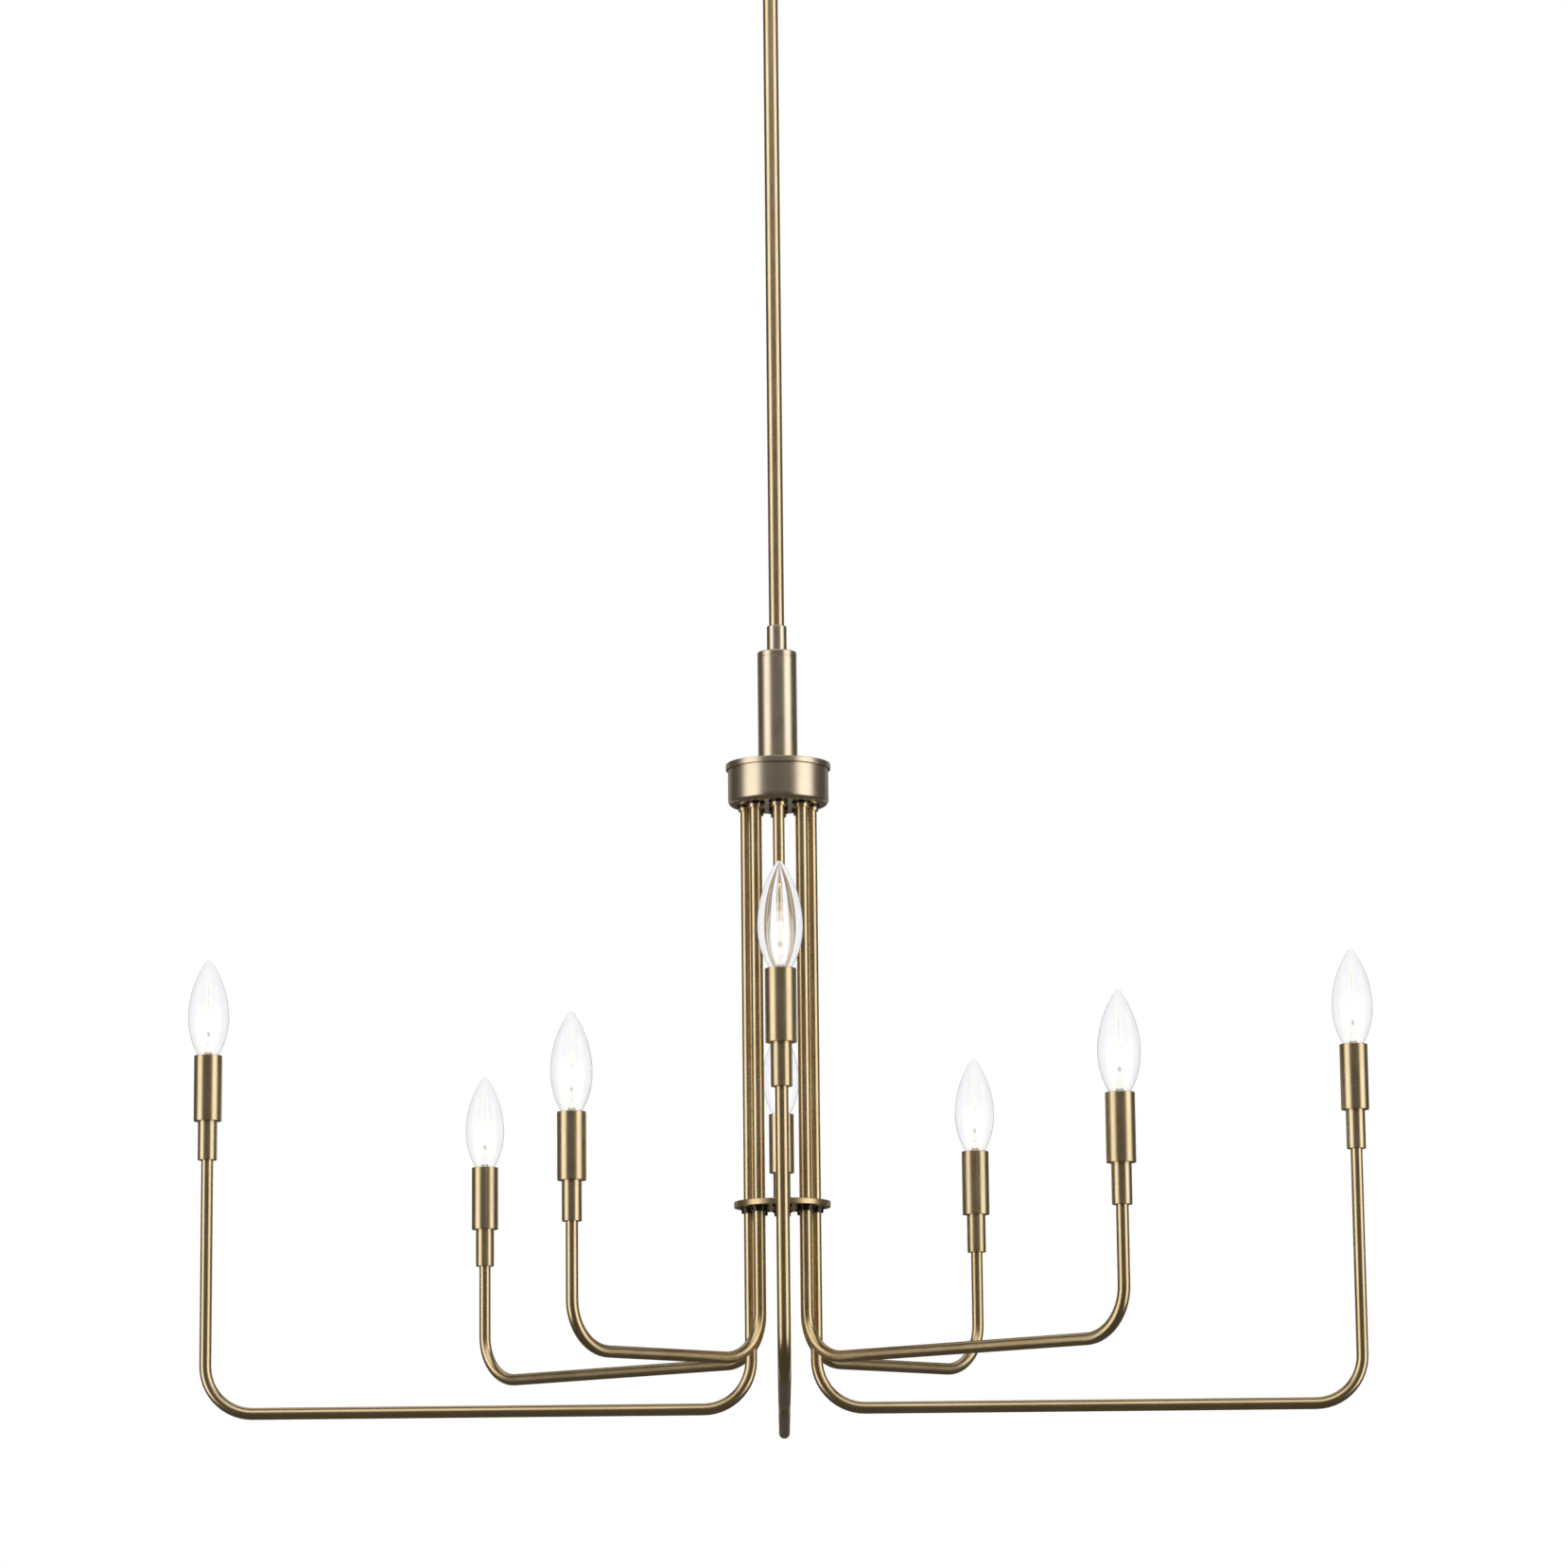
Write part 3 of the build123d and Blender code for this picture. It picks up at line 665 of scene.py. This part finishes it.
def softbox(tree, way, bearing_deg, rise_deg, half_width, half_height, brightness):
    """What one far softbox shines from a direction. Bearing 0 is the camera's side and 90 is +X.

    The half sizes are tangents of the angles that the box spans.
    """
    bearing, rise = radians(bearing_deg), radians(rise_deg)
    out = Vector((sin(bearing) * cos(rise), -cos(bearing) * cos(rise), sin(rise)))
    right = Vector((cos(bearing), sin(bearing), 0))
    ahead = along(tree, way, out)
    shine = math_node(tree, "MULTIPLY", math_node(tree, "GREATER_THAN", ahead, 0.05), brightness)
    for axis, half_size in ((right, half_width), (out.cross(right), half_height)):
        off_centre = math_node(tree, "DIVIDE", along(tree, way, axis), ahead)
        off_centre = math_node(tree, "ABSOLUTE", off_centre, 0)
        shine = math_node(tree, "MULTIPLY", shine, soft_edge(tree, off_centre, half_size))
    return shine


# bearing, rise, half width, half height, brightness
SOFTBOXES = [
    (-64, 5, 0.37, 0.69, 1.72),
    (64, 5, 0.37, 0.69, 1.80),
    (-150, 6, 0.15, 0.53, 0.36),
    (150, 6, 0.15, 0.53, 0.36),
    (0, 46, 0.60, 0.37, 1.25),
    (180, 62, 0.60, 0.24, 0.80),
]
world = bpy.data.worlds.new("studio")
world.use_nodes = True
tree = world.node_tree
way = tree.nodes.new("ShaderNodeTexCoord").outputs["Generated"]
total = 0.0
for box in SOFTBOXES:
    total = math_node(tree, "ADD", softbox(tree, way, *box), total)
boxes = tree.nodes.new("ShaderNodeBackground")
tree.links.new(total, boxes.inputs["Strength"])
room = tree.nodes["Background"]
room.inputs["Color"].default_value = (1.0, 0.93, 0.84, 1)
room.inputs["Strength"].default_value = 0.075
both = tree.nodes.new("ShaderNodeAddShader")
tree.links.new(boxes.outputs[0], both.inputs[0])
tree.links.new(room.outputs[0], both.inputs[1])
tree.links.new(both.outputs[0], tree.nodes["World Output"].inputs["Surface"])
bpy.context.scene.world = world
bpy.context.scene.view_settings.view_transform = "Standard"

# ------------------------------------------------------------------ camera

CAMERA_X = -0.0025
CAMERA_BACK = 4.0097
CAMERA_Z = -1.5361
CAMERA_PITCH = radians(9.36)
CAMERA_ROLL = radians(0.58)
camera_data = bpy.data.cameras.new("camera")
camera_data.sensor_width = 36
camera_data.lens = 109.7
camera_data.shift_y = 0.0556
camera_data.clip_end = 100
camera = bpy.data.objects.new("camera", camera_data)
camera.location = (CAMERA_X, -CAMERA_BACK, CAMERA_Z)
camera.rotation_euler = (pi / 2 + CAMERA_PITCH, CAMERA_ROLL, 0)
bpy.context.scene.collection.objects.link(camera)
bpy.context.scene.camera = camera
